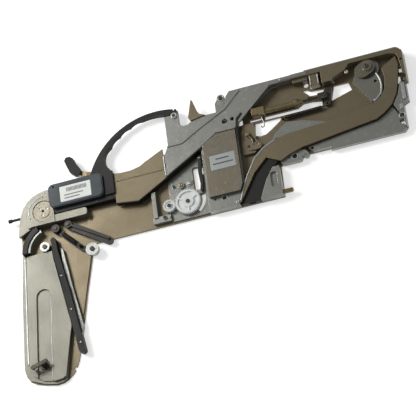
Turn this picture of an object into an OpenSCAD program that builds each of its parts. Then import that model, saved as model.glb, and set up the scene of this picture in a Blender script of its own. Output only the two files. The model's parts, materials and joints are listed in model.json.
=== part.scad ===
// Smt tape feeder, lying flat on its back face.
// X runs along the feeder to the pick-up end, Y is the feeder's own height, Z is its thickness.

/* [Body] */
// Full thickness of the feeder body
body_t = 21; // [20:0.5:23]
// Thickness of the main frame plate
plate_t = 4; // [3.5:0.5:4.5]
// Thickness of folded sheet parts
sheet_t = 2; // [1.5:0.1:2]
// Level of the covers' front faces over the tape channels
cover_z = 18; // [17:0.5:18.5]
// Length of the locating pin past the foot
pin_l = 15; // [10:1:18]

/* [Drive] */
// Module of the cover tape gears
gear_m = 0.8; // [0.8:0.05:0.8]
// Teeth on the large cover tape gear
gear_big_n = 48; // [48:1:48]
// Teeth on the small cover tape gear
gear_small_n = 24; // [24:1:24]
// Face width of the cover tape gears
gear_w = 5; // [4:0.5:6]
// Pitch of the tape's sprocket holes
tape_pitch = 4; // [4:1:4]
// Teeth on the tape sprocket
sprocket_n = 25; // [25:1:25]
// Outer radius of the cylinder tube
tube_r = 4; // [3.5:0.1:4.2]

/* [Handle] */
// Thickness of the handle moulding
handle_t = 10; // [8:0.5:11]
// Radius of each finger scallop
scallop_r = 22; // [18:1:26]
// Depth of each finger scallop
scallop_d = 2; // [1:0.25:2.5]

/* [Reel side] */
// Radius of the rear guide roller
roller_1_r = 7.6; // [6:0.2:7.8]
// Radius of the dancer roller
roller_2_r = 10; // [8:0.2:10]
// Height of the raised face of the reel plate
reel_face_z = 9; // [7:0.5:10]
// Width of the pressed channel in the reel plate
press_w = 23; // [18:0.5:24]

/* [Hidden] */
origin_p = [5.25, -9.5];
$fn = 48;
e = 0.01;
run = 0.05;
lip = 1.5;
bracket_bore_p = [138, 55.8];
bracket_bore_r = 4;
mid_z = 14;
gear_z = 7.5;
gear_big_p = [-30, 26.5];
gear_small_p = gear_big_p - [gear_m * (gear_big_n + gear_small_n) / 2, 0];
sprocket_p = [265.5, 165];
sprocket_r = tape_pitch * sprocket_n / (2 * PI);
tape_z0 = 6;
tape_w = 8.4;
tape_y = sprocket_p[1] + sprocket_r + 0.4;
top_y = 183;
hub_p = [-252, 67];
roller_1_p = [-256.5, 10.9];
roller_2_p = [-183, -12];
dancer_p = [-237, 36];
guide_arm_p = [-217, 38];
cyl_y = 139;
cyl_z = 11;
spindle_p = [-277, -172];
peel_p = [-4.5, 91];
clamp_p = [-176, 110];
handle_c = [-61.4, 63];
handle_r = 119.4;
grip_c = [-67.5, 84.5];
grip_r = 91.5;

// ---------- helpers ----------
// Brings the plan centre of the whole feeder to the origin
module at_origin() translate([-origin_p[0], -origin_p[1], 0]) children();
module plate(pts, z0, z1) translate([0, 0, z0]) linear_extrude(z1 - z0) polygon(pts);
module disc(p, r, z0, z1) translate([p[0], p[1], z0]) cylinder(r = r, h = z1 - z0);
module block(a, b, z0, z1) translate([a[0], a[1], z0]) cube([b[0] - a[0], b[1] - a[1], z1 - z0]);
// Flat bar of width w with round ends on the centres a and b
module bar2(a, b, w) {
    t = atan2(b[1] - a[1], b[0] - a[0]);
    polygon(concat(arc(a, w / 2, t + 90, t + 270, 12), arc(b, w / 2, t - 90, t + 90, 12)));
}
module bar(a, b, w, z0, z1) translate([0, 0, z0]) linear_extrude(z1 - z0) bar2(a, b, w);
// Points of an arc round c, and the outline of a ring sector between two radii
function arc(c, r, a0, a1, n = 16) = [for (i = [0:n]) let (a = a0 + (a1 - a0) * i / n)
    c + r * [cos(a), sin(a)]];
function sector(c, ri, ro, a0, a1, n = 16) = concat(arc(c, ro, a0, a1, n), arc(c, ri, a1, a0, n));
// Rectangle with round corners
module round_rect(a, b, r, z0, z1) translate([0, 0, z0]) linear_extrude(z1 - z0) {
    translate([a[0] + r, a[1]]) square([b[0] - a[0] - 2 * r, b[1] - a[1]]);
    translate([a[0], a[1] + r]) square([b[0] - a[0], b[1] - a[1] - 2 * r]);
    for (x = [a[0] + r, b[0] - r], y = [a[1] + r, b[1] - r]) translate([x, y]) circle(r);
}
// Straight spur gear outline with the module m and n teeth
module gear2(m, n) {
    rp = m * n / 2;
    q = 360 / n;
    polygon([for (i = [0:n - 1], s = [[-0.31, -1.2], [-0.19, 0.85], [0.19, 0.85], [0.31, -1.2]])
        (rp + m * s[1]) * [cos((i + s[0]) * q), sin((i + s[0]) * q)]]);
}

// ---------- main frame ----------
frame_pts = [[-186, 0], [113, 0], [114, 48], [118, 51], [146, 51], [152, 57], [192, 57], [192, 54],
    [302, 54], [308, 60], [308, 96], [316, 100], [316, 131], [320, 135], [320, 176], [314, 182],
    [62, 182], [50, 176], [44, 164], [24, 152], [2, 146], [-14, 140], [-26, 136], [-46, 136],
    [-50, 124], [-60, 112], [-74, 104], [-90, 98], [-104, 95], [-140, 94], [-142, 100], [-236, 100],
    [-262, 98], [-276, 91], [-286, 78], [-291, 62], [-291, 46], [-188, 46]];
reel_tongue = [[-287, 46 - e], [-196, 46 - e], [-206, 84], [-268, 84], [-284, 72]];

module main_frame() color("#7d7360") at_origin() difference() {
    union() {
        plate(frame_pts, 0, plate_t);
        // lug and pin of the clamp lever
        disc(clamp_p, 7, 0, plate_t);
        block(clamp_p - [7, 12], clamp_p + [7, 0], 0, plate_t);
        disc(clamp_p, 2, plate_t, 12);
        disc(clamp_p, 3.4, 11.2, 12);
    }
    // seat of the reel plate's upper tongue
    plate(reel_tongue, -1, sheet_t);
    // tall slot, small slot and crescent behind the gears
    round_rect([-18.5, 44], [-9.5, 80], 3, -1, body_t);
    round_rect([-5.6, 66], [-2.2, 79], 1, -1, body_t);
    plate(sector([-32, 31], 21.5, 28, -52, 12, 10), -1, body_t);
    // round and square openings at the cable
    disc([43, 136], 4, -1, body_t);
    block([52.5, 133], [57, 141], -1, body_t);
    plate([[60, 129], [67, 129], [67, 134], [65, 146], [62, 146]], -1, body_t);
    // opening behind the lever group
    plate([[83, 107], [90, 104], [99, 105], [109, 111], [123, 121], [126, 127], [85, 127]], -1, body_t);
    // opening under the cylinder
    plate([[101, 128], [189, 128], [190, 136], [174, 139], [161, 139], [152, 134], [101, 134]], -1, body_t);
    block([78, 130], [96, 134], -1, body_t);
    // opening over the rod
    plate([[162, 160], [169, 160], [174, 156.5], [196, 154.5], [196, 150], [190, 147], [173, 148]],
        -1, body_t);
    // opening in front of the link plate
    plate([[203, 131.5], [236, 141], [232, 155], [210, 155]], -1, body_t);
    disc([169.5, 167], 3.8, -1, body_t);
    block([175, 159], [177.4, 173], -1, body_t);
    // openings in the front end
    block([303, 132], [309, 144], -1, body_t);
    block([308.5, 149], [313, 156], -1, body_t);
    block([298.5, 65], [305.5, 72], -1, body_t);
}

// ---------- reel holder ----------
reel_left = [[-294, 46], [-295.5, 6], [-301.5, -56], [-306.5, -126], [-309.5, -173], [-307, -183],
    [-302, -191], [-293, -197], [-280, -201], [-262, -205], [-252, -204], [-245, -201]];
module reel_back_plate() color("#7a6f5a") at_origin() difference() {
    union() {
        plate(concat(reel_left, [[-235, -193], [-229, -183], [-225, -174], [-216, -140], [-210, -115],
            [-200, -70], [-190, -30], [-187, -17], [-186.3, -0.3], [-188.3, 46]]), 0, sheet_t);
        plate(reel_tongue, 0, sheet_t);
    }
    disc([-232, -186], 2, -1, sheet_t + 1);
}
module reel_outline(inset) polygon([[-295 + inset, 3], [-301 + inset, -56],
    [-306 + inset, -126], [-309 + inset, -172], [-302 + inset, -190 + inset / 2],
    [-280, -200 + inset / 2], [-262, -204 + inset / 2], [-252, -203 + inset / 2],
    [-245.5, -200 + inset / 2], [-233, -137], [-229, -120], [-238, -60], [-246, -10], [-247, 3]]);
module reel_face_plate() color("#7f7d75") at_origin() difference() {
    union() {
        translate([0, 0, sheet_t]) linear_extrude(3) reel_outline(0);
        translate([0, 0, sheet_t]) linear_extrude(reel_face_z - sheet_t) reel_outline(8);
    }
    // pressed channel, open at the lower edge
    translate([0, 0, reel_face_z - 2.4]) linear_extrude(5)
        bar2([-267, -66], [-279, -215], press_w);
    // round seat of the spindle
    disc(spindle_p, 8 + run, sheet_t + 2, body_t);
}
module reel_spindle() color("#8a8578") at_origin() {
    difference() {
        union() {
            disc(spindle_p, 8, sheet_t + 2, sheet_t + 5);
            disc(spindle_p, 4.5, sheet_t + 5, 17);
        }
        disc(spindle_p, 1.8, 9, 18);
    }
}
module spindle_latch() color("#5b574d") at_origin() {
    disc(spindle_p, 1.75, 9.5, 17);
    bar(spindle_p + [6, 2], spindle_p + [-15, -4], 6, 17.1, 19.5);
    disc(spindle_p + [-15, -4], 2.2, 13, 17.1);
}
module tape_strip() color("#1d1b18") at_origin() {
    difference() {
        union() {
            bar([-242.5, 18], [-240, -6], 8, sheet_t, 13);
            bar([-240, -6], [-231, -60], 9, sheet_t, 13);
            bar([-231, -60], [-216, -163], 10, sheet_t, 13);
        }
        for (p = [[-235, -42], [-225.5, -98], [-217, -152]]) disc(p, 1.2, 11, 14);
    }
    for (p = [[-235, -42], [-225.5, -98], [-217, -152]]) disc(p, 1.2, 11, 13.6);
}

module strip_flange() color("#69737a") at_origin() difference() {
    plate([[-233, 4], [-230, 2], [-222, -56], [-214, -104], [-211, -126], [-214.5, -138], [-219, -110],
        [-225, -70], [-233, -20]], sheet_t, 8);
    bar([-231, -60], [-216, -163], 10.01, 0, 13);
    bar([-240, -6], [-231, -60], 9.01, 0, 13);
}
module side_panel() color("#7f7560") at_origin()
    plate([[-212, -3], [-191, -3], [-189, -17], [-192, -30], [-202, -70], [-211, -108], [-213, -100],
        [-221, -62]], sheet_t, 3.6);
module arm_pivot(p) {
    disc(p, 2.5, sheet_t, 13.4);
    disc(p, 4.5, sheet_t, 4.85);
}
module arm_pivots() color("#4d4942") at_origin() {
    arm_pivot(dancer_p);
    arm_pivot(guide_arm_p);
}

// ---------- rear end ----------
module rear_side_plate() color("#85837b") at_origin() difference() {
    union() {
        plate([[-295, 36], [-291, 60], [-288, 70], [-284, 80], [-276, 89], [-268, 95], [-258, 99],
            [-246, 101], [-235, 101], [-235, 57], [-235, 45.5], [-270, 45.5], [-291, 36]],
            plate_t, 13);
        // raised inner face with the rounded shoulder
        plate(concat([[-278, 44], [-280, 62]], arc([-254, 68], 25.5, 165, 95, 10), [[-245, 93],
            [-235, 92], [-235, 45.5], [-270, 45.5]]), 13, 16);
        round_rect([-240, 45.5], [-184, 57], 4, plate_t, 15);
    }
    disc(hub_p, 16.6, 12.5, body_t);
    // seat of the lock pin
    translate([-300, 66, 10]) rotate([0, 90, 0]) cylinder(r = 2.05, h = 31);
}
module hub_disc() color("#8f897a") at_origin() difference() {
    union() {
        disc(hub_p, 16, 12.5, 15);
        disc(hub_p, 11, 15, 15.8);
    }
    for (a = [20, 140, 260]) disc(hub_p + 6.5 * [cos(a), sin(a)], 1.6, 14, 17);
    disc(hub_p, 2, 12, 17);
}
module rear_arc_guide() color("#1b1a17") at_origin()
    plate(sector([-246, 4], 37.5, 45.5, 116, 178, 14), sheet_t, 15);
module rear_inner_guide() color("#6f7678") at_origin()
    plate(sector([-246, 4], 33.5, 37.4, 112, 176, 14), sheet_t, 13);
module roller_1_axle() color("#55504a") at_origin() {
    disc(roller_1_p, 2.5, sheet_t, 13.4);
    disc(roller_1_p, 3.6, 12.2, 13.4);
}
module roller_1() color("#a9aca8") at_origin() difference() {
    disc(roller_1_p, roller_1_r, 4, 12);
    disc(roller_1_p, 2.5 + run, 3, 13);
}
module dancer_arm() color("#2a2824") at_origin() difference() {
    union() {
        bar(dancer_p, [-200, -4], 8, 5, 7.5);
        bar([-200, -4], roller_2_p, 8, 5, 7.5);
        disc(dancer_p, 6.5, 5, 12);
        disc(roller_2_p, 2.5, 7.5, 15.6);
        disc(roller_2_p, 3.6, 14.4, 15.6);
        disc([-203, 0], 1.5, 7.5, 14.4);
        bar([-203, 0], [-200, -4], 8, 5, 7.5);
    }
    disc(dancer_p, 2.5 + run, 4, 13);
}
module roller_2() color("#a5a59c") at_origin() difference() {
    disc(roller_2_p, roller_2_r, 7.8, 14.2);
    disc(roller_2_p, 2.5 + run, 7, 15);
}
// Closed coil tension spring between a and b, as one ridged turning
module coil_body(a, b, r, z, pitch = 2) {
    d = b - a;
    l = norm(d);
    n = floor((l - 8) / pitch);
    translate([a[0], a[1], z]) rotate([0, 0, atan2(d[1], d[0])]) rotate([0, 90, 0])
        translate([0, 0, 4]) rotate_extrude() polygon(concat([[0, 0]],
            [for (i = [0:n - 1], s = [[0.78, 0.1], [1, 0.5], [0.78, 0.9]])
                [r * s[0], (i + s[1]) * pitch]], [[0, n * pitch]]));
    for (p = [[a, 0], [b, 180]]) translate([p[0][0], p[0][1], z])
        rotate([0, 0, atan2(d[1], d[0]) + p[1]]) rotate([0, 90, 0]) cylinder(r = r * 0.3, h = 5);
}
module spring_eye(p, z) translate([p[0], p[1], z - 0.8]) difference() {
    cylinder(r = 3, h = 1.6);
    translate([0, 0, -1]) cylinder(r = 1.5 + run, h = 4);
}
module tension_spring() color("#161513") at_origin() {
    a = dancer_p + [8.8, -9.3];
    b = [-203, 0] + [-1.7, 1.8];
    coil_body(a - [0.6, -0.6], b, 3.3, 11.4);
    spring_eye([-203, 0], 11.4);
}
module guide_arm() color("#2b2a24") at_origin() difference() {
    union() {
        bar(guide_arm_p, [-157, -3], 12, 5, 9);
        bar(guide_arm_p, [-157, 0], 3, 9, 12);
        disc(guide_arm_p, 6, 5, 12);
    }
    disc(guide_arm_p, 2.5 + run, 4, 13);
}
module lock_pin() color("#3b3833") at_origin() {
    translate([-305, 66, 10]) rotate([0, 90, 0]) cylinder(r = 2, h = 30);
    translate([-309, 66, 10]) rotate([0, 90, 0]) cylinder(r = 3, h = 5);
}

// ---------- control box ----------
module control_base() color("#14130f") at_origin() union() {
    round_rect([-234, 58], [-137, 104], 3, plate_t, 16);
    block([-152.7, 66], [-137, 103], 16 - e, 19);
}
module control_cover() color("#33464d") at_origin() difference() {
    union() {
        round_rect([-239, 65], [-153, 103], 8, 16, 22);
        round_rect([-237.5, 66.5], [-154.5, 101.5], 7, 22, 23);
    }
    disc([-230, 98], 1.6, 20, 24);
    block([-221, 69.5], [-171, 95.5], 22.6, 24);
}
module control_label() color("#dfe5e1") at_origin() round_rect([-220.5, 70], [-171.5, 95], 1, 22.6, 23.1);

// ---------- clamp lever ----------
module clamp_stem() color("#7d6e55") at_origin() {
    difference() {
        bar(clamp_p, clamp_p + [-14, 6], 7, 6, 11);
        disc(clamp_p, 2 + run, 5, 12);
    }
}
module clamp_knob() color("#201e1a") at_origin() difference() {
    plate([[-187, 119], [-190, 126], [-196, 136], [-197, 141], [-202, 145], [-208, 145],
        [-211, 140], [-208, 130], [-204, 119], [-198, 114], [-188, 113]], 4.5, 15);
    bar(clamp_p, clamp_p + [-14, 6], 7, 6, 11);
}

// ---------- handle ----------
module handle() color("#191713") at_origin() difference() {
    translate([0, 0, 5]) linear_extrude(handle_t) difference() {
        polygon(concat(arc(handle_c, handle_r, 156, 74, 28), [[-28, 170.2], [-48.5, 170.2]],
            arc(grip_c, grip_r, 80, 146, 20), [[-143, 126], [-142, 104], [-172, 104]]));
        for (a = [107:13:147]) translate(grip_c + (grip_r + scallop_d - scallop_r) * [cos(a), sin(a)])
            circle(scallop_r);
        translate([-33, 168]) circle(5.2);
    }
    disc([-33, 178], 1.6, 10, 20);
}
module handle_bracket() color("#7c8082") at_origin() difference() {
    union() {
        plate([[-48.5, 119.2], [-48.5, 179], [-28, 179], [-28, 157], [-24, 149], [-20, 147.5],
            [-14, 148], [-8, 152], [-4, 156], [31, 156], [31, 170], [35, 176], [46, 176],
            [45.5, 161], [43.6, 157.4], [2, 135.4], [-26, 119.2]], plate_t, 14);
        disc([41, 177], 6, plate_t, 14);
        disc([-33, 168], 5, 14, 15.5);
    }
    // shelf that the end of the handle rests in
    difference() {
        block([-60, 170], [-27, 190], 5, body_t);
        disc([-33, 168], 5, 0, body_t);
    }
    disc([41, 177], 3, 11, 15);
    disc([-33, 168], 2, 12, 17);
}
module pointed_lug() color("#7d7059") at_origin()
    plate([[-9, 152], [-12, 158], [-10.5, 162], [-6, 180], [-4.5, 186], [-2, 184], [3, 166],
        [6, 160], [14, 156]], 14, 16);

// ---------- supply channel ----------
module supply_cover() color("#7e725c") at_origin() {
    plate([[-137, 50], [-103, 45.3], [-57, 70.5], [-57, 118], [-72, 111], [-87, 104], [-95, 99.5],
        [-109, 96.6], [-125, 96.6], [-137, 98]], cover_z - 4, cover_z - 2);
    plate([[-137, 52], [-104, 47.6], [-59, 72], [-59, 114], [-88, 100], [-108, 93], [-137, 93]],
        plate_t, cover_z - 4);
    block([-137, 84], [-58, 86], cover_z - 2, cover_z - 1.2);
}
module supply_channel() color("#8b867b") at_origin() difference() {
    union() {
        plate([[-57, 70.5], [2, 104], [28, 121], [60, 121], [62, 134], [118, 176], [151, 176],
            [151, 183], [56, 183], [50, 176], [46.2, 160], [44, 157], [2, 135], [-26, 119],
            [-48, 119], [-51, 112], [-57, 100]], plate_t, cover_z - 2);
        plate([[-57, 70.5], [2, 104], [28, 121], [56, 121], [118, 176], [151, 176], [151, 183],
            [56, 183], [50, 176], [46.2, 160], [44, 157], [2, 135], [-26, 119], [-48, 119],
            [-57, 100]], cover_z - 2, cover_z);
        // lip that keeps the tape in its channel
        plate([[-48, 119], [-26, 119], [2, 135], [44, 157], [70, 181], [72, 179.6], [46, 155],
            [3, 133.4], [-25.5, 117.2], [-48.5, 117.2]], cover_z, cover_z + lip);
    }
    disc([43, 136], 4.2, 0, body_t);
    block([-56, 84], [-53, 92], cover_z - 1, body_t);
    // tape groove under the cover
    plate([[-58, 84], [2, 117], [28, 134], [56, 138], [96, 170], [152, tape_y], [152, 184],
        [140, 184], [92, 175], [52, 143], [26, 138], [0, 121], [-58, 88]], tape_z0, tape_z0 + tape_w);
    disc([55, 137], 3, 0, body_t);
}

// ---------- cover tape drive ----------
module gear_plate() color("#85837c") at_origin() difference() {
    union() {
        plate([[-58, 2], [-58, 66], [-46, 73], [-6, 95], [0, 99], [0, 2]], plate_t, 6);
        disc(peel_p, 1.5, 6, 12.4);
        disc([-50, 57], 2.6, 6, 7.4);
        disc([-38, 56], 5, 6, 9);
        disc([-25, 57], 5, 6, 7.2);
    }
    round_rect([-19, 43.5], [-9, 80.5], 3, 0, body_t);
    round_rect([-5.8, 65.8], [-2, 79.2], 1, 0, body_t);
    plate(sector([-32, 31], 21, 28.5, -54, 14, 10), 0, body_t);
    for (p = [gear_big_p, gear_small_p]) disc(p, 2.01, 3, 7);
}
module step_bracket() color("#6f6a5e") at_origin() {
    block([-84, 12], [-78, 54], plate_t, 12);
    block([-86, 4], [-58.5, 14], plate_t, 10);
    disc([-68, 10], 3.2, 10, 12);
    disc([-61, 10], 2.6, 10, 11.5);
}
// Gear with a recessed web that keeps its spokes
module gear_disc(n, web_r, hub_r, bore, spokes) difference() {
    linear_extrude(gear_w) difference() {
        gear2(gear_m, n);
        circle(bore);
    }
    translate([0, 0, gear_w - 1.6]) linear_extrude(2) difference() {
        circle(web_r);
        circle(hub_r);
        for (i = [1:1:spokes]) rotate(i * 120 - 90) translate([0, -1.2]) square([web_r + 1, 2.4]);
    }
}
module gear_axle(p) {
    disc(p, 2, plate_t, gear_z + gear_w + 1.2);
    disc(p, 3.4, 6, gear_z - 0.15);
    disc(p, 3, gear_z + gear_w + 0.15, gear_z + gear_w + 1.2);
}
module gear_big() color("#e9ece8") at_origin() translate([gear_big_p[0], gear_big_p[1], gear_z])
    gear_disc(gear_big_n, 15.5, 9, 2 + run, 3);
module gear_small() color("#e9ece8") at_origin()
    translate([gear_small_p[0], gear_small_p[1], gear_z])
        rotate(180 / gear_small_n) gear_disc(gear_small_n, 6.8, 4.6, 2 + run, 0);
module gear_axles() color("#6b6255") at_origin() {
    gear_axle(gear_big_p);
    gear_axle(gear_small_p);
}
module peel_lever() color("#171614") at_origin() difference() {
    union() {
        bar(peel_p, [-6.5, 70], 5, 6.4, 11);
        bar([-6.5, 70], [-5.5, 52], 5, 6.4, 11);
        bar([-5.5, 52], [-7, 40], 4, 6.4, 11);
        disc(peel_p, 4, 6.4, 11);
    }
    disc(peel_p, 1.5 + run, 6, 12);
}

// ---------- feed drive ----------
module drive_base() color("#77746a") at_origin() difference() {
    plate([[1, 0], [47.5, 0], [47.5, 4], [55.3, 24], [58.5, 31], [58.5, 119], [28, 119], [1, 103]],
        plate_t, mid_z);
    disc([26, 16.5], 3.2, 8, body_t);
    disc([12, 17], 1.5, 10, body_t);
    block([8, 24], [53.5, 98], plate_t + 1, body_t);
}
module drive_cover() color("#827d70") at_origin() difference() {
    plate([[5, 20], [52.5, 20], [57, 30], [57, 118.5], [28, 118.5], [5, 105]], mid_z, 20);
    plate([[7, 22], [51.5, 22], [55, 30.5], [55, 116.5], [28.6, 116.5], [7, 103.8]], mid_z - 1, 18.5);
    block([12.5, 60], [52, 85], 19.6, body_t);
}
module drive_label() color("#9fa3a2") at_origin() round_rect([13, 60.5], [51.5, 84.5], 1, 19.6, 20.1);
module drive_motor() color("#4a4d50") at_origin() {
    translate([16, 52, 11]) rotate([0, 90, 0]) cylinder(r = 6, h = 30);
    translate([10, 52, 11]) rotate([0, 90, 0]) cylinder(r = 2.5, h = 6);
}
module valve_plate() color("#857c6a") at_origin() difference() {
    union() {
        plate([[62, 78], [80, 78], [90, 92], [84, 100], [84, 127], [66, 127], [62, 100]],
            plate_t, 9);
        bar([76, 88], [86, 88], 12, 9, 11);
        disc([73, 109], 3.5, 9, 12);
    }
    disc([72, 89], 2, 5, 12);
    disc([86, 90], 1.8, 5, 12);
}
module air_cylinder() color("#8f8670") at_origin() difference() {
    union() {
        block([84.5, cyl_y - 6], [104, cyl_y + 6], plate_t, 17);
        translate([104, cyl_y, cyl_z]) rotate([0, 90, 0]) cylinder(r = tube_r, h = 48);
        translate([150, cyl_y, cyl_z]) rotate([0, 90, 0]) cylinder(r = 6, h = 5);
        translate([155, cyl_y, cyl_z]) rotate([0, 90, 0]) cylinder(r1 = 4.6, r2 = 2.6, h = 8);
    }
    translate([110, cyl_y, cyl_z]) rotate([0, 90, 0]) cylinder(r = 2 + run, h = 60);
    block([78, 130], [96, 134.5], 0, body_t);
}
module piston_link() color("#5d5447") at_origin() difference() {
    union() {
        translate([125, cyl_y, cyl_z]) rotate([0, 90, 0]) cylinder(r = 2, h = 75);
        translate([170, cyl_y, cyl_z]) rotate([0, 90, 0]) cylinder(r = 3.6, h = 8, $fn = 6);
        block([186, cyl_y - 5], [200, cyl_y + 5], 7, 15);
        plate([[194, 124], [202, 124], [204, 131], [208, 152], [198, 152], [194, 146]], 6, 10);
    }
    disc([198, 127], 1.6, 5, 11);
}
module return_spring() color("#1b1b1b") at_origin() {
    coil_body([128, 121.5], [193, 123.5], 3, 9);
    disc([128, 121.5], 1.6, plate_t, 10.5);
}
module flat_cable() color("#121110") at_origin()
    plate([[57.6, 106], [60.6, 106], [61.5, 121], [63.5, 133], [71, 141], [69, 143.5], [60.5, 135.5],
        [58.5, 122]], cover_z, cover_z + 0.8);

// ---------- front end ----------
module top_rail() color("#7f7867") at_origin() difference() {
    union() {
        plate([[151, 176], [151, 183], [314, 183], [320, 177], [320, 128], [315, 128], [315, 150],
            [313.5, 164], [311, 173], [300, 176.7], [240, 177], [232, 168], [214, 162], [213, 157],
            [196, 157], [196, 176]], plate_t, 19);
        block([152, 170], [176, 176], plate_t, 15);
        block([178, 157], [192, 176], plate_t, 17);
    }
    // tape groove along the top edge and the sprocket's pocket
    block([150, tape_y], [321, top_y + 3], tape_z0, tape_z0 + tape_w);
    disc(sprocket_p, sprocket_r + 2, tape_z0 + 0.6, tape_z0 + 4.4);
    block([174.5, 156], [178, 173.5], 0, body_t);
    disc([169.5, 167], 3.8, 0, body_t);
    disc([317.5, 136], 2, 10, body_t);
    disc([316.5, 163], 1.8, 12, body_t);
    for (p = [[229, 165], [213, 157]]) disc(p, 1.6, 14, body_t);
}
module tape_cover() color("#8d8a7e") at_origin() difference() {
    block([172, top_y], [312, top_y + 1.2], plate_t, 19);
    // pick-up window and the sprocket's slit
    block([288, top_y - 1], [296, top_y + 2], tape_z0 + 1, tape_z0 + 7);
    block([sprocket_p[0] - 8, top_y - 1], [sprocket_p[0] + 8, top_y + 2], tape_z0 + 0.8, tape_z0 + 4);
}
module sprocket() color("#b9b9b2") at_origin() difference() {
    union() {
        disc(sprocket_p, sprocket_r, tape_z0 + 1, tape_z0 + 3.6);
        for (i = [0:sprocket_n - 1])
            translate([sprocket_p[0], sprocket_p[1], tape_z0 + 2.3]) rotate([0, 0, i * 360 / sprocket_n])
                rotate([0, 90, 0]) translate([0, 0, sprocket_r - 0.5]) cylinder(r1 = 0.7, r2 = 0.35, h = 1.7);
        disc(sprocket_p, 6, tape_z0 + 3.6, tape_z0 + 6);
    }
    disc(sprocket_p, 3 + run, 0, body_t);
}
module sprocket_flange() color("#8e8f88") at_origin() difference() {
    union() {
        disc(sprocket_p, 3, plate_t, 20);
        disc(sprocket_p, 7, 15.5, 20);
        bar(sprocket_p, sprocket_p + [-8, -4], 23, 15.5, 17.2);
    }
    disc(sprocket_p, 1.6, 17, 21);
}
module return_sector() color("#7c7a73") at_origin() {
    difference() {
        plate(concat([[240, 147], [246, 161]], arc([243, 133], 40, 38, -22, 16),
            [[268, 107], [262, 112]]), plate_t, 13);
        disc([273.5, 141], 2.3, 8, 14);
        disc(sprocket_p, sprocket_r + 2, tape_z0 + 0.4, body_t);
    }
    plate(sector([243, 133], 37.5, 40, 28, -22, 16), 13, 15.5);
}
module return_cover() color("#7d7463") at_origin() {
    plate([[308.5, 171.5], [310.5, 157], [306.5, 132], [301, 112], [292, 97], [279, 87], [266, 80],
        [151, 65], [129, 58], [117, 52], [96, 63], [76, 44], [56, 12], [49, 2], [48, 4],
        [55.8, 24], [60, 33], [64, 40], [79, 66], [94, 79], [114, 88], [134, 92], [194, 95],
        [244, 101], [266, 105.5], [278, 113], [285, 124], [288, 143], [286, 158]],
        mid_z - 2, mid_z + 1.5);
    plate([[305, 168], [307, 155], [303, 132], [297, 112], [288, 99], [277, 91], [264, 84],
        [150, 69], [127, 62], [115.5, 57.5], [98, 68], [88, 66], [84, 70], [96, 80], [116, 88], [136, 92],
        [194, 95], [244, 101], [268, 107], [280, 115], [288, 128], [291, 143], [289, 158]],
        plate_t, mid_z - 2);
}
module inner_guide() color("#888b8a") at_origin() difference() {
    plate([[109, 91], [116, 101], [134, 113], [158, 109], [192, 98], [190, 95.5], [134, 92.5]],
        plate_t, 11);
    disc([110.5, 96], 1.4, 8, 12);
}
module exit_chute() color("#15130f") at_origin() difference() {
    plate([[50, 0], [50, 6], [56, 18], [64, 32], [76, 50], [88, 62], [97, 66], [113, 55],
        [103, 46], [91, 28], [83, 10], [79, 0]], plate_t, 12 - e);
    plate([[60, -1], [64, 12], [76, 32], [90, 50], [98, 54], [93, 44], [81, 26], [74, 10], [70, -1]],
        6, 10);
}
module foot_block() color("#77766a") at_origin() difference() {
    plate([[79.5, 0], [113, 0], [113, 46], [103.5, 45.6], [91.5, 28], [83.5, 10]], plate_t, 15);
    translate([98, 5, 9.5]) rotate([0, 90, 0]) cylinder(r = 3, h = 20);
    round_rect([98, 14], [108, 38], 4, 12, body_t);
}
module locating_pin() color("#8e7f55") at_origin() translate([98, 5, 9.5]) rotate([0, 90, 0]) {
    cylinder(r = 3, h = 15);
    translate([0, 0, 15]) cylinder(r = 3.5, h = pin_l - 1.5);
    translate([0, 0, 13.5 + pin_l]) cylinder(r1 = 3.5, r2 = 2.4, h = 1.5);
}
module lower_bracket() color("#7b7e7e") at_origin() difference() {
    union() {
        plate([[117, 50], [121, 58], [130, 62], [149, 66], [149, 51], [146, 46.5], [119, 46.5]],
            plate_t, 11);
        bar([154.5, 54.5], [151.5, 58.5], 9, plate_t, 11);
    }
    disc(bracket_bore_p, bracket_bore_r, 3, 12);
    disc([129, 56], 1.5, 6, 12);
    disc([154.5, 54.5], 2.2, 0, 12);
}
module lower_cover() color("#7e7d76") at_origin() difference() {
    plate([[166, 57], [192, 57], [192, 52], [301, 52], [306, 57], [300, 76], [291, 95], [279, 86],
        [266, 79], [160, 65.5], [160, 63]], plate_t, 10);
    disc([165, 62], 2.6, 0, 12);
    block([298, 64.5], [306, 72.5], 0, 12);
}
module front_block() color("#86867f") at_origin() difference() {
    plate([[294, 96], [303, 77], [307, 58.5], [308, 60], [308, 96], [316, 100], [316, 127],
        [308.5, 130], [303, 112]], plate_t, 14);
    disc([303.5, 76], 3.4, 6, 15);
    block([298, 64.5], [305.5, 72.5], 0, 15);
}
module front_connector() color("#c9ccc8") at_origin() {
    block([309.5, 100], [314.5, 126], 14, 16);
    block([303, 86], [307.4, 94], 14, 15.2);
}

main_frame();
reel_back_plate();
reel_face_plate();
reel_spindle();
spindle_latch();
tape_strip();
strip_flange();
side_panel();
arm_pivots();
rear_side_plate();
hub_disc();
rear_arc_guide();
rear_inner_guide();
roller_1();
roller_1_axle();
dancer_arm();
roller_2();
tension_spring();
guide_arm();
lock_pin();
control_base();
control_cover();
control_label();
clamp_stem();
clamp_knob();
handle();
handle_bracket();
supply_cover();
supply_channel();
pointed_lug();
gear_plate();
step_bracket();
gear_axles();
gear_big();
gear_small();
peel_lever();
drive_base();
drive_cover();
drive_label();
drive_motor();
valve_plate();
air_cylinder();
piston_link();
return_spring();
flat_cable();
top_rail();
tape_cover();
sprocket();
sprocket_flange();
return_sector();
return_cover();
inner_guide();
exit_chute();
foot_block();
locating_pin();
lower_bracket();
lower_cover();
front_block();
front_connector();
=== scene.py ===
import json
import math

import bpy
import numpy as np
from mathutils import Matrix, Vector


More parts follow.
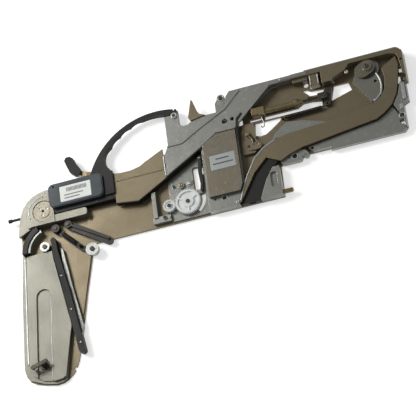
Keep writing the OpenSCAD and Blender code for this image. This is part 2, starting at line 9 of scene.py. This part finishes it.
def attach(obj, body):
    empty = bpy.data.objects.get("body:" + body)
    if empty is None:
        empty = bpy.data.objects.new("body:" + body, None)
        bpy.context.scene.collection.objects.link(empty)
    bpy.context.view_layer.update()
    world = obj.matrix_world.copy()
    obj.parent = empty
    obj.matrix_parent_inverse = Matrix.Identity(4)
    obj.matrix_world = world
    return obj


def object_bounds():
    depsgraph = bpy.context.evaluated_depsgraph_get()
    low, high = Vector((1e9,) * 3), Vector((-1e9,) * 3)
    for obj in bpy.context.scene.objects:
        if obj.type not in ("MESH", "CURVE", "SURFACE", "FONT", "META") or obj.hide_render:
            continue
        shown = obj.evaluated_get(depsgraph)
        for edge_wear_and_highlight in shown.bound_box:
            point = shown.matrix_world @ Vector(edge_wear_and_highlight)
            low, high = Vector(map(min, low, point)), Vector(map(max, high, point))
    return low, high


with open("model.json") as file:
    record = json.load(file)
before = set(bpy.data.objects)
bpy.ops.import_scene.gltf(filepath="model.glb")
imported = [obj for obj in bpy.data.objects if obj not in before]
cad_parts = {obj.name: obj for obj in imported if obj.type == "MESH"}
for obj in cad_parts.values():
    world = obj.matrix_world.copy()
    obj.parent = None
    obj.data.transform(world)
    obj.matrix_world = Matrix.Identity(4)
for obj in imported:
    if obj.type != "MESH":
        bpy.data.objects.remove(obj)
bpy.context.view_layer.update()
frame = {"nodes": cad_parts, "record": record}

MM = 0.001
FLOOR_GLOW = 0.5  # light of the floor toward the camera and mirrors
FRAME_WIDTH = 0.6082  # metres across the view at the feeder
PLAN_CENTRE = (5.25, -9.5)  # the feeder's own zero, measured from the frame's origin, in mm


def at(x, y, z=0.0):
    """A point given in the feeder's own millimetres, in metres of the frame."""
    return ((x - PLAN_CENTRE[0]) * MM, (y - PLAN_CENTRE[1]) * MM, z * MM)


# ---------- camera, floor and light ----------
def set_camera():
    """A long lens that looks at the open side from below and to the right, rolled so the feeder climbs."""
    right = Vector((0.9466, -0.1257, -0.2970)).normalized()
    up = Vector((0.2355, 0.8978, 0.3721))
    back = right.cross(up).normalized()
    up = back.cross(right)
    data = bpy.data.cameras.new("camera")
    data.lens, data.sensor_width = 200.0, 36.0
    camera = bpy.data.objects.new("camera", data)
    bpy.context.scene.collection.objects.link(camera)
    spot = Vector(at(-4.4, 13.5)) + back * (FRAME_WIDTH * data.lens / data.sensor_width)
    turn = Matrix((right, up, back)).transposed().to_4x4()
    camera.matrix_world = Matrix.Translation(spot) @ turn
    data.clip_start, data.clip_end = 0.05, 60.0
    bpy.context.scene.camera = camera


def link(tree, a, b):
    tree.links.new(a, b)


def set_floor():
    """A flat square sheet far wider than the feeder; camera and mirror rays see it nearly white."""
    half = 9.0
    u, v = np.meshgrid([-half, half], [-half, half])
    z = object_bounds()[0][2] - 0.0002
    points = np.stack([u.ravel(), v.ravel(), np.full(4, z)], 1)
    mesh = bpy.data.meshes.new("floor")
    mesh.from_pydata(points.tolist(), [], [(0, 1, 3, 2)])
    floor = bpy.data.objects.new("floor", mesh)
    bpy.context.scene.collection.objects.link(floor)
    mat = bpy.data.materials.new("pale_floor")
    mat.use_nodes = True
    tree = mat.node_tree
    bsdf = tree.nodes["Principled BSDF"]
    bsdf.inputs["Base Color"].default_value = (0.86, 0.86, 0.86, 1)
    bsdf.inputs["Roughness"].default_value = 0.9
    bsdf.inputs["Emission Color"].default_value = (1, 1, 1, 1)
    path = tree.nodes.new("ShaderNodeLightPath")
    most = tree.nodes.new("ShaderNodeMath")
    most.operation = "MAXIMUM"
    link(tree, path.outputs["Is Camera Ray"], most.inputs[0])
    link(tree, path.outputs["Is Glossy Ray"], most.inputs[1])
    gain = tree.nodes.new("ShaderNodeMath")
    gain.operation = "MULTIPLY"
    gain.inputs[1].default_value = FLOOR_GLOW
    link(tree, most.outputs[0], gain.inputs[0])
    link(tree, gain.outputs[0], bsdf.inputs["Emission Strength"])
    mesh.materials.append(mat)


def set_light():
    """A pale sky, a wide soft key from the upper left and a weak fill from the lower right."""
    world = bpy.data.worlds.new("pale_sky")
    bpy.context.scene.world = world
    world.use_nodes = True
    tree = world.node_tree
    sky = tree.nodes["Background"]
    path = tree.nodes.new("ShaderNodeLightPath")
    level = tree.nodes.new("ShaderNodeMapRange")
    level.inputs["To Min"].default_value = 0.3
    level.inputs["To Max"].default_value = 1.0
    link(tree, path.outputs["Is Camera Ray"], level.inputs["Value"])
    sky.inputs["Color"].default_value = (1, 1, 1, 1)
    link(tree, level.outputs[0], sky.inputs["Strength"])
    for name, place, size, power, colour in (
            ("key", (-1.2, 0.8, 1.25), 0.9, 29.0, (1.0, 0.985, 0.96)),
            ("fill", (1.3, -1.2, 1.4), 1.2, 4.0, (0.94, 0.97, 1.0))):
        data = bpy.data.lights.new(name, "AREA")
        data.size, data.energy, data.color = size, power, colour
        lamp = bpy.data.objects.new(name, data)
        lamp.location = place
        lamp.rotation_euler = (-Vector(place)).to_track_quat("-Z", "Y").to_euler()
        bpy.context.scene.collection.objects.link(lamp)


# ---------- finishes ----------
def srgb(h):
    """Linear colour of a hex one."""
    c = np.array([int(h[i:i + 2], 16) / 255 for i in (1, 3, 5)])
    return tuple(np.where(c <= 0.04045, c / 12.92, ((c + 0.055) / 1.055) ** 2.4)) + (1.0,)


def node(tree, kind, **inputs):
    n = tree.nodes.new(kind)
    for key, value in inputs.items():
        n.inputs[key.replace("_", " ")].default_value = value
    return n


def noise(tree, coord, scale, detail, stretch=(1, 1, 1), rough=0.55):
    """Noise on the piece's own coordinates, stretched along its grain."""
    put = node(tree, "ShaderNodeMapping", Scale=stretch)
    link(tree, coord, put.inputs["Vector"])
    n = node(tree, "ShaderNodeTexNoise", Scale=scale, Detail=detail, Roughness=rough)
    link(tree, put.outputs[0], n.inputs["Vector"])
    return n.outputs["Fac"]


def ramp(tree, value, low, high, a, b):
    """Maps value from low..high to a..b, held at both ends."""
    m = node(tree, "ShaderNodeMapRange")
    for key, v in (("From Min", low), ("From Max", high), ("To Min", a), ("To Max", b)):
        m.inputs[key].default_value = v
    link(tree, value, m.inputs["Value"])
    return m.outputs[0]


def blend_colour(tree, fac, a, b):
    m = tree.nodes.new("ShaderNodeMix")
    m.data_type = "RGBA"
    link(tree, fac, m.inputs[0])
    for spot, c in ((6, a), (7, b)):
        if isinstance(c, tuple):
            m.inputs[spot].default_value = c
        else:
            link(tree, c, m.inputs[spot])
    return m.outputs[2]


def finish(name, body, shade, worn_and_highlight, metal=0.0, rough=0.5, spread=0.1, grain=(1, 1, 1),
           grain_scale=900.0, bump=0.15, patch_scale=14.0, wear=0.35, level=0.5, edge=0.7, rub_and_highlight=0.8):
    """One finish: body colour clouded with shade in broad patches, flecks of wear along the grain,
    roughness that follows the patches, a fine bump from the grain, and lighter edges that are partly wear
    and partly a painted highlight."""
    mat = bpy.data.materials.new(name)
    mat.use_nodes = True
    tree = mat.node_tree
    bsdf = tree.nodes["Principled BSDF"]
    coord = tree.nodes.new("ShaderNodeTexCoord").outputs["Object"]
    patches = noise(tree, coord, patch_scale, 4.0)
    fibre = noise(tree, coord, grain_scale, 2.0, grain, 0.6)
    flecks = noise(tree, coord, 160.0, 5.0, grain, 0.7)
    colour = blend_colour(tree, ramp(tree, patches, 0.35, 0.68, 0, 1), srgb(body), srgb(shade))
    colour = blend_colour(tree, ramp(tree, flecks, 0.56, 0.74, 0, wear), colour, srgb(worn_and_highlight))
    link(tree, ramp(tree, patches, 0.3, 0.7, rough - spread, rough + spread), bsdf.inputs["Roughness"])
    bsdf.inputs["Metallic"].default_value = metal
    bsdf.inputs["Specular IOR Level"].default_value = level
    soft = node(tree, "ShaderNodeBevel", Radius=edge * MM)
    soft.samples = 4
    b = node(tree, "ShaderNodeBump", Strength=bump, Distance=0.0004)
    link(tree, fibre, b.inputs["Height"])
    link(tree, soft.outputs[0], b.inputs["Normal"])
    link(tree, b.outputs[0], bsdf.inputs["Normal"])
    # rubbed edges and painted highlight: where the rounded normal leaves the flat one, a lighter colour is
    # painted on, partly as wear and partly as a highlight along every edge
    flat = tree.nodes.new("ShaderNodeNewGeometry")
    turned = tree.nodes.new("ShaderNodeVectorMath")
    turned.operation = "DOT_PRODUCT"
    link(tree, soft.outputs[0], turned.inputs[0])
    link(tree, flat.outputs["Normal"], turned.inputs[1])
    edge_wear_and_highlight = ramp(tree, turned.outputs["Value"], 0.985, 0.85, 0, rub_and_highlight)
    rubbed_and_highlit = blend_colour(tree, edge_wear_and_highlight, colour, srgb(worn_and_highlight))
    link(tree, rubbed_and_highlit, bsdf.inputs["Base Color"])
    return mat


FINISH = {
    "frame_brown": finish("sheet_bronze_grey", "#786e59", "#675d48", "#b1a892", 0.6, 0.36, 0.08,
                          (1, 14, 1), 700, 0.12),
    "reel_grey": finish("sheet_warm_grey", "#7b7a70", "#6d6c62", "#b4b3aa", 0.55, 0.36, 0.07,
                        (14, 1, 1), 700, 0.12),
    "cast_grey": finish("cast_alloy_grey", "#94958f", "#7b7c77", "#d2d8da", 0.65, 0.33, 0.12,
                        (1, 1, 1), 420, 0.3, 22.0),
    "cover_brown": finish("plated_cover", "#7b7668", "#696355", "#c3bfb3", 0.65, 0.32, 0.1,
                          (2, 1, 1), 600, 0.25, 18.0),
    "black_plastic": finish("moulded_black", "#100f0d", "#0b0a09", "#2c2b29", 0.0, 0.48, 0.08,
                            (1, 1, 1), 900, 0.35, 20.0, wear=0.2, level=0.3),
    "slate_plastic": finish("moulded_slate", "#27353b", "#212c32", "#4c5c63", 0.0, 0.42, 0.06,
                            (1, 1, 1), 1000, 0.3, 20.0, wear=0.2, level=0.4),
    "label_white": finish("label_paper", "#e3e8e4", "#d9dfdb", "#f2f4f2", 0.0, 0.55, 0.05,
                          (1, 1, 1), 900, 0.05, 30.0),
    "label_grey": finish("label_foil", "#9da2a2", "#939898", "#b9bcbb", 0.2, 0.45, 0.05,
                         (1, 1, 1), 900, 0.05, 30.0),
    "gear_white": finish("gear_resin", "#dfe3e1", "#cdd2d0", "#f6f8f7", 0.0, 0.3, 0.05,
                         (1, 1, 1), 700, 0.08, 90.0, wear=0.2, edge=1.0, rub_and_highlight=1.0),
    "steel_dark": finish("oiled_steel", "#4a463e", "#332f29", "#8b867b", 0.7, 0.38, 0.1,
                         (1, 1, 1), 900, 0.15, 60.0),
    "steel_bright": finish("turned_steel", "#a9aba7", "#8b8e8a", "#e4e6e3", 0.75, 0.28, 0.08,
                           (1, 1, 1), 900, 0.1, 60.0),
    "brass": finish("aged_brass", "#8b7d5c", "#6d6042", "#c0b593", 0.65, 0.3, 0.08,
                    (1, 1, 1), 900, 0.12, 60.0),
    "black_steel": finish("blackened_steel", "#1f1d18", "#151410", "#4c4941", 0.3, 0.4, 0.1,
                          (1, 1, 1), 900, 0.2, 40.0),
    # contact: bright plating on screws and rings, and the painted highlight on lips and rims
    "contact": finish("plating_and_painted_highlight", "#adb3b2", "#989e9d", "#d5dad9", 0.6, 0.38, 0.08,
                      (1, 1, 1), 900, 0.1, 60.0),
    "label_ink": finish("label_ink", "#3c3f40", "#4a4d4e", "#606364", 0.0, 0.6, 0.05,
                        (1, 1, 1), 900, 0.05, 60.0),
}


def dress_nodes():
    """Gives every frame node its slot's finish."""
    slots = {s["node"]: s["material_slot"] for s in frame["record"]["subparts"]}
    for name, obj in frame["nodes"].items():
        obj.data.materials.clear()
        obj.data.materials.append(FINISH[slots[name]])


# ---------- surfaces ----------
def surface(name, grid, mat, body, smooth=True):
    """A skin over a grid of points: rows run along the piece and columns run once round it."""
    rows, cols = grid.shape[:2]
    idx = np.arange(rows * cols).reshape(rows, cols)
    nxt = np.roll(idx, -1, 1)
    quads = np.stack([idx[:-1], nxt[:-1], nxt[1:], idx[1:]], -1)
    mesh = bpy.data.meshes.new(name)
    mesh.from_pydata(grid.reshape(-1, 3).tolist(), [], quads.reshape(-1, 4).tolist())
    mesh.polygons.foreach_set("use_smooth", np.full(len(mesh.polygons), smooth))
    mesh.materials.append(FINISH[mat])
    obj = bpy.data.objects.new(name, mesh)
    bpy.context.scene.collection.objects.link(obj)
    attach(obj, body)
    return obj


def screw_head(name, x, y, z, r, mat, body, h=1.1, cross=True):
    """A pan head: its height falls with the fourth power of the radius, a cross of two slots or a round
    socket is sunk into its middle, and a skirt drops to its seat. The underside is open."""
    ring = np.concatenate([[0.0], np.linspace(0.08, 1.0, 14), [1.0]])
    turn = np.linspace(0, 2 * math.pi, 48, endpoint=False)
    q, a = np.meshgrid(ring, turn, indexing="ij")
    top = h * (1 - 0.35 * q ** 4)
    if cross:
        px, py = q * np.cos(a), q * np.sin(a)
        arm = np.minimum(np.abs(px), np.abs(py))
        sunk = 1 / (1 + np.exp((arm - 0.13) * 45)) * 1 / (1 + np.exp((q - 0.62) * 40))
    else:
        sunk = 1 / (1 + np.exp((q - 0.48) * 45))
    top = top - 0.65 * h * sunk
    top[-1] = 0.0
    across = x + r * q * np.cos(a) - PLAN_CENTRE[0]
    along = y + r * q * np.sin(a) - PLAN_CENTRE[1]
    grid = np.stack([across, along, z + top], -1) * MM
    return surface(name, grid, mat, body)


SCREWS = [  # x, y, seat level, radius, finish, body, cross
    (-245.9, 69.2, 14.6, 2.0, "steel_bright", "body", 0),
    (-257.0, 71.2, 14.6, 2.0, "steel_bright", "body", 0),
    (-253.1, 60.6, 14.6, 2.0, "steel_bright", "body", 0), (-167, 60.5, 15.9, 1.8, "steel_dark", "body", 1),
    (-182, 41, 3.9, 2.6, "steel_dark", "body", 1), (-158.5, -1.8, 8.9, 2.2, "steel_dark", "guide_arm", 1),
    (-235, -42, 13.4, 1.5, "steel_bright", "body", 0), (-225.5, -98, 13.4, 1.5, "steel_bright", "body", 0),
    (-217, -152, 13.4, 1.5, "steel_bright", "body", 0), (-50, 57, 7.3, 2.0, "steel_dark", "body", 0),
    (-38, 56, 8.9, 3.2, "brass", "body", 0), (-25, 57, 7.1, 3.0, "steel_bright", "body", 1),
    (-68, 10, 11.9, 2.4, "steel_dark", "body", 1), (72, 89, 10.9, 2.3, "steel_dark", "body", 1),
    (86, 90, 8.9, 2.3, "steel_bright", "body", 1), (73, 109, 11.9, 2.6, "brass", "body", 0),
    (235, 164, 18.9, 3.0, "steel_bright", "body", 1), (213, 157.8, 18.9, 1.8, "steel_dark", "body", 0),
    (265.5, 165, 19.9, 3.4, "steel_dark", "body", 0), (41, 177, 13.9, 3.2, "steel_dark", "body", 0),
    (45, 5, 13.9, 2.6, "contact", "body", 1), (316.2, 135.5, 18.9, 3.1, "black_steel", "body", 0),
]


def add_screws():
    for i, (x, y, z, r, mat, body, cross) in enumerate(SCREWS):
        screw_head(f"screw_{i:02d}", x, y, z, r, mat, body, 0.9 if r < 2.2 else 1.2, bool(cross))


# ---------- ribs, lips, wires and bars ----------
ROUND_SKIRT = [(-1, -0.15), (1, -0.15)]
HALF_ROUND = [(math.cos(a), math.sin(a)) for a in np.linspace(0, math.pi, 9)] + ROUND_SKIRT
FULL_ROUND = [(math.cos(a), math.sin(a)) for a in np.linspace(0, 2 * math.pi, 12, endpoint=False)]
BAND = [(1, 0), (1, 1), (-1, 1), (-1, 0)]


def sweep(name, path, profile, wide, high, mat, body):
    """A profile carried along a path that stays level: at each point of the path the profile's first
    number is laid across the path and its second one upward. The last rings close to a point."""
    path = np.array(path, float)
    ahead = np.gradient(path, axis=0)
    ahead /= np.linalg.norm(ahead, axis=1)[:, None]
    side = np.stack([ahead[:, 1], -ahead[:, 0], np.zeros(len(path))], 1)
    side /= np.maximum(np.linalg.norm(side, axis=1), 1e-9)[:, None]
    up = np.cross(side, ahead)
    q = np.array(profile, float)
    grid = path[:, None] + side[:, None] * (q[None, :, :1] * wide) + up[:, None] * (q[None, :, 1:] * high)
    ends = [np.repeat(grid[k].mean(0)[None], len(q), 0)[None] for k in (0, -1)]
    grid = np.concatenate([ends[0], grid, ends[1]])
    grid = (grid - np.array([*PLAN_CENTRE, 0.0])) * MM
    return surface(name, grid, mat, body, profile is not BAND)


def arc_path(cx, cy, r, a0, a1, z, n=24):
    """Points on a level arc, angles in degrees."""
    a = np.radians(np.linspace(a0, a1, n))
    return np.stack([cx + r * np.cos(a), cy + r * np.sin(a), np.full(n, z)], 1)


def line_path(points, z, step=2.0):
    """Points along straight runs, closer than step mm, all at level z."""
    out = []
    for (xa, ya), (xb, yb) in zip(points[:-1], points[1:]):
        n = max(2, int(math.hypot(xb - xa, yb - ya) / step))
        t = np.linspace(0, 1, n, endpoint=False)
        out.append(np.stack([xa + (xb - xa) * t, ya + (yb - ya) * t, np.full(n, float(z))], 1))
    out.append(np.array([[*points[-1], z]], float))
    return np.concatenate(out)


RIM_END = line_path([(273, 112.5), (267, 109)], 15.4)
# ribs in the contact finish paint highlights along folds, beads and rims of the sheets under them
LIPS_AND_HIGHLIGHTS = [  # name, path, half width, height, finish, slot
    ("return_lip", line_path([(49.6, 4.5), (55.8, 22), (64, 40), (79, 66), (94, 79), (114, 88)], 15.5),
     1.2, 1.0, "contact", None),
    ("sector_rim", np.concatenate([arc_path(243, 133, 38.7, 30, -22, 15.4), RIM_END]),
     1.5, 1.0, "contact", None),
    ("channel_end_rib", line_path([(-56.2, 72), (-56.2, 106)], 18), 1.0, 0.8, "contact", None),
    ("channel_foot_lip", line_path([(-55, 72.8), (2, 105.2), (28, 122)], 18), 0.7, 0.5, "cast_grey", None),
    ("hub_ridge", arc_path(-252, 67, 22.5, 205, 84, 16), 0.9, 0.5, "contact", "reel_grey"),
    ("tab_rib_0", line_path([(179.4, 158), (179.4, 175.4)], 17), 0.9, 0.7, "contact", None),
    ("tab_rib_1", line_path([(191.0, 158), (191.0, 175.4)], 17), 0.9, 0.7, "contact", None),
    ("rail_ledge", line_path([(133, 179.6), (176.5, 179.6)], 18), 3.3, 1.9, "cast_grey", None),
    ("reel_fold", line_path([(-289.8, 1), (-293.3, -56), (-298.3, -126), (-300.6, -168)], 8.8),
     1.5, 0.6, "contact", "reel_grey"),
    ("channel_bead", line_path([(-255.6, -68), (-262.5, -150), (-266.4, -198.5)], 8.8),
     0.8, 0.5, "contact", "reel_grey"),
]


def add_lips_and_highlights():
    """Folded lips, rims, beads and ledges, each a half round carried along its path; the ones in the
    bright contact finish are painted highlights.
    """
    for name, path, wide, high, mat, slot in LIPS_AND_HIGHLIGHTS:
        sweep(name, path, HALF_ROUND, wide, high, mat, "body")


# path of the black strip that paints the shade on the channel's lower wall
SHADE_BAND_PATH = line_path([(-137, 49.4), (-103, 44.6), (-57, 69.8), (-2, 101)], 6.4)


def add_painted_shade_band():
    """A black strip as painted shade on the channel's lower wall, which lies in shadow there; a flat
    profile carried along the wall.
    """
    sweep("channel_shade_band", SHADE_BAND_PATH, BAND, 0.5, 9.2, "black_plastic", "body")


CONTROL_FACE, DRIVE_FACE = 23.1, 20.1  # levels of the two labels, mm
INK = 0.06  # height of a printed bar, mm


def ink_bar(name, a, b, z, wide, step):
    """One plain bar of print from a to b, a flat profile carried along a straight path."""
    sweep(name, line_path([a, b], z, step), BAND, wide, INK, "label_ink", "body")


def add_label_bars():
    """Plain bars in place of print, on the two labels."""
    for i in range(16):
        x = -209 + 2.0 * i
        ink_bar(f"code_bar_{i:02d}", (x, 85), (x, 91.5), CONTROL_FACE, 0.55, 4)
    for i, (x0, x1, y) in enumerate(((-214, -184, 80), (-214, -190, 75))):
        ink_bar(f"plain_bar_{i}", (x0, y), (x1, y), CONTROL_FACE, 0.7, 8)
    for i, (x0, x1, y) in enumerate(((22, 42, 77.5), (17, 48, 70))):
        ink_bar(f"drive_bar_{i}", (x0, y), (x1, y), DRIVE_FACE, 1.0, 8)


def add_levers():
    """Link arm, hook and rings beside the drive cover and at the front."""
    arm = line_path([(73, 109), (79, 100), (80.5, 90)], 9)
    sweep("link_arm", arm, HALF_ROUND, 3.0, 2.2, "steel_dark", "body")
    hook = np.array([[96, 136, 10], [97.5, 131, 10], [99, 126, 10], [100.5, 120, 10], [99.5, 115.5, 10],
                     [96.5, 114.5, 10], [95, 117, 10]], float)
    sweep("hook", hook, FULL_ROUND, 0.9, 0.9, "steel_bright", "body")
    for i, (x, y, r, z) in enumerate(((26, 16.5, 4.2, 14), (41, 177, 4.6, 14), (-33, 168, 3.4, 15.5),
                                      (303.5, 76, 4.2, 14), (137.9, 55.8, 4.6, 11))):
        sweep(f"ring_{i}", arc_path(x, y, r, 0, 359.9, z, 40), HALF_ROUND, 0.8, 0.5, "contact", "body")


set_camera()
set_floor()
set_light()
dress_nodes()
add_screws()
add_lips_and_highlights()
add_painted_shade_band()
add_label_bars()
add_levers()

bpy.context.scene.view_settings.view_transform = "Standard"
